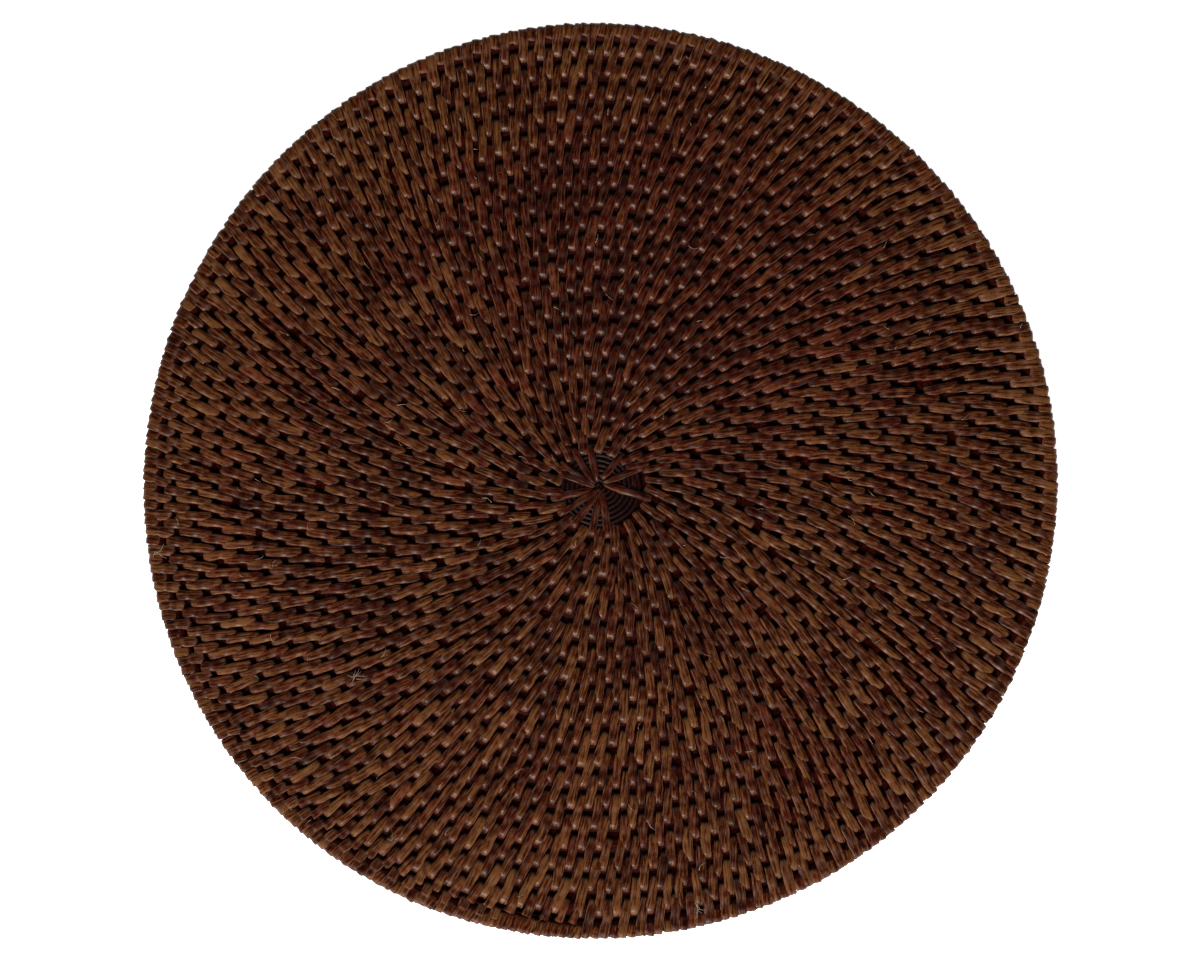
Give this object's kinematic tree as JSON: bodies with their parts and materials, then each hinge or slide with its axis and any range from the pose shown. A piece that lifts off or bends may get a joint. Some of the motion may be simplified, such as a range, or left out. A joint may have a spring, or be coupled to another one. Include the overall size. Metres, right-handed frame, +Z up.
{
  "type": "rattan placemat",
  "caption": "Flat round table mat: a rattan coil wound in a spiral from the eye, its rows showing as ribs on both faces, held at the rim by a closed border coil.",
  "frame": {"origin": "middle of the underside", "axes": "+Z up out of the upper face, the mat lying in XY; the coil starts at the eye, and its tail ends 268 degrees counter-clockwise from +X"},
  "size_m": [0.3556, 0.3564, 0.0065],
  "materials": {
    "rattan": "dark stained split rattan, satin",
    "border_rattan": "dark stained split rattan, satin"
  },
  "bodies": {
    "root": {"coiled_field": "rattan", "border_coil": "border_rattan"}
  },
  "joints": []
}
